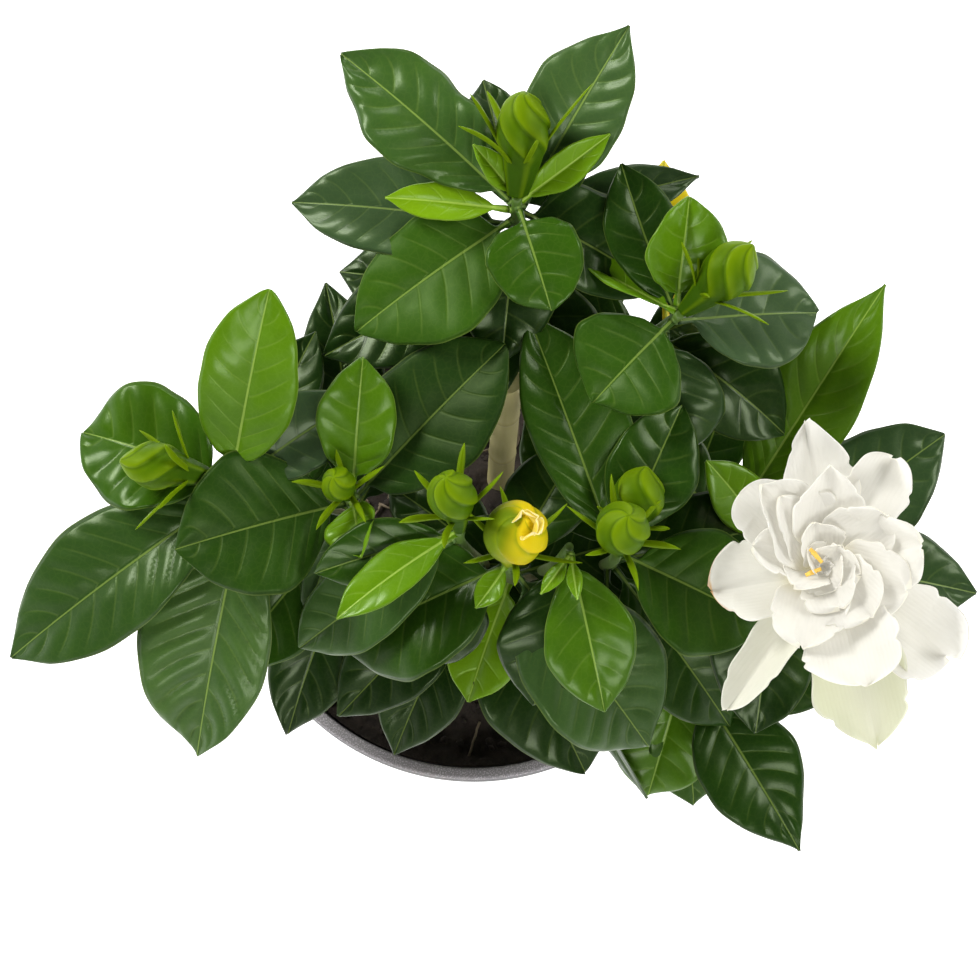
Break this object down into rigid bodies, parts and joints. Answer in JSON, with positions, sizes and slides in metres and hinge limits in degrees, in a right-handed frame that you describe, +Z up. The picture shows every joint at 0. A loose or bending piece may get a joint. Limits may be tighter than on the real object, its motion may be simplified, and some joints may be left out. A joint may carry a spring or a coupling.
{
  "type": "potted gardenia",
  "caption": "Young double gardenia with glossy leaves, buds and one open white flower, growing on three stems from the root ball of a round tapered nursery pot, with a bamboo cane.",
  "frame": {"origin": "the pot's axis at the ground, at the middle of the flat underside of the pot", "axes": "+Z up along the pot's axis, +Y towards the plant's back, +X to the right, towards the open flower"},
  "size_m": [0.2486, 0.1926, 0.2521],
  "materials": {
    "pot_plastic": "moulded charcoal plastic, matte with a fine speckle",
    "potting_mix": "damp peat and bark crumbs",
    "bamboo": "split bamboo, satin",
    "stem_bark": "young green-brown bark",
    "leaf_mature": "glossy waxy dark green leaf with pale midrib",
    "leaf_young": "glossy bright green young leaf",
    "bud_green": "satin lime green bud and calyx",
    "bud_yellow": "satin yellow opening bud",
    "petal": "soft matte cream-white petal"
  },
  "bodies": {
    "root": {"pot": "pot_plastic", "soil": "potting_mix", "bamboo_cane": "bamboo", "stem_back": "stem_bark", "stem_left": "stem_bark", "stem_front": "stem_bark", "leaf_back_1": "leaf_mature", "leaf_back_2": "leaf_mature", "leaf_back_3": "leaf_mature", "leaf_back_4": "leaf_mature", "leaf_back_5": "leaf_mature", "leaf_back_6": "leaf_mature", "leaf_back_7": "leaf_young", "leaf_side_1": "leaf_young", "leaf_side_2": "leaf_mature", "leaf_side_3": "leaf_mature", "leaf_side_4": "leaf_mature", "leaf_flower_1": "leaf_young", "leaf_flower_2": "leaf_mature", "leaf_flower_3": "leaf_mature", "leaf_low_1": "leaf_mature", "leaf_low_2": "leaf_mature", "leaf_left_1": "leaf_young", "leaf_left_2": "leaf_mature", "leaf_left_3": "leaf_mature", "leaf_left_4": "leaf_mature", "leaf_mid_1": "leaf_mature", "leaf_mid_2": "leaf_young", "leaf_mid_3": "leaf_mature", "leaf_mid_4": "leaf_mature", "leaf_centre_1": "leaf_mature", "leaf_front_1": "leaf_mature", "leaf_front_2": "leaf_mature", "leaf_front_3": "leaf_mature", "leaf_right_1": "leaf_mature", "leaf_right_2": "leaf_mature", "leaf_right_3": "leaf_mature", "leaf_right_4": "leaf_mature", "leaf_inner_1": "leaf_young", "bud_back": "bud_green", "bud_side": "bud_green", "bud_left": "bud_green", "bud_mid": "bud_green", "bud_centre": "bud_green", "bud_front": "bud_yellow", "bud_right": "bud_green", "flower_calyx": "bud_green", "petal_inner_1": "petal", "petal_inner_2": "petal", "petal_inner_3": "petal", "petal_mid_1": "petal", "petal_mid_2": "petal", "petal_mid_3": "petal", "petal_outer_1": "petal", "petal_outer_2": "petal", "petal_outer_3": "petal", "petal_outer_4": "petal", "petal_outer_5": "petal", "petal_outer_6": "petal", "petal_outer_7": "petal"}
  },
  "joints": []
}
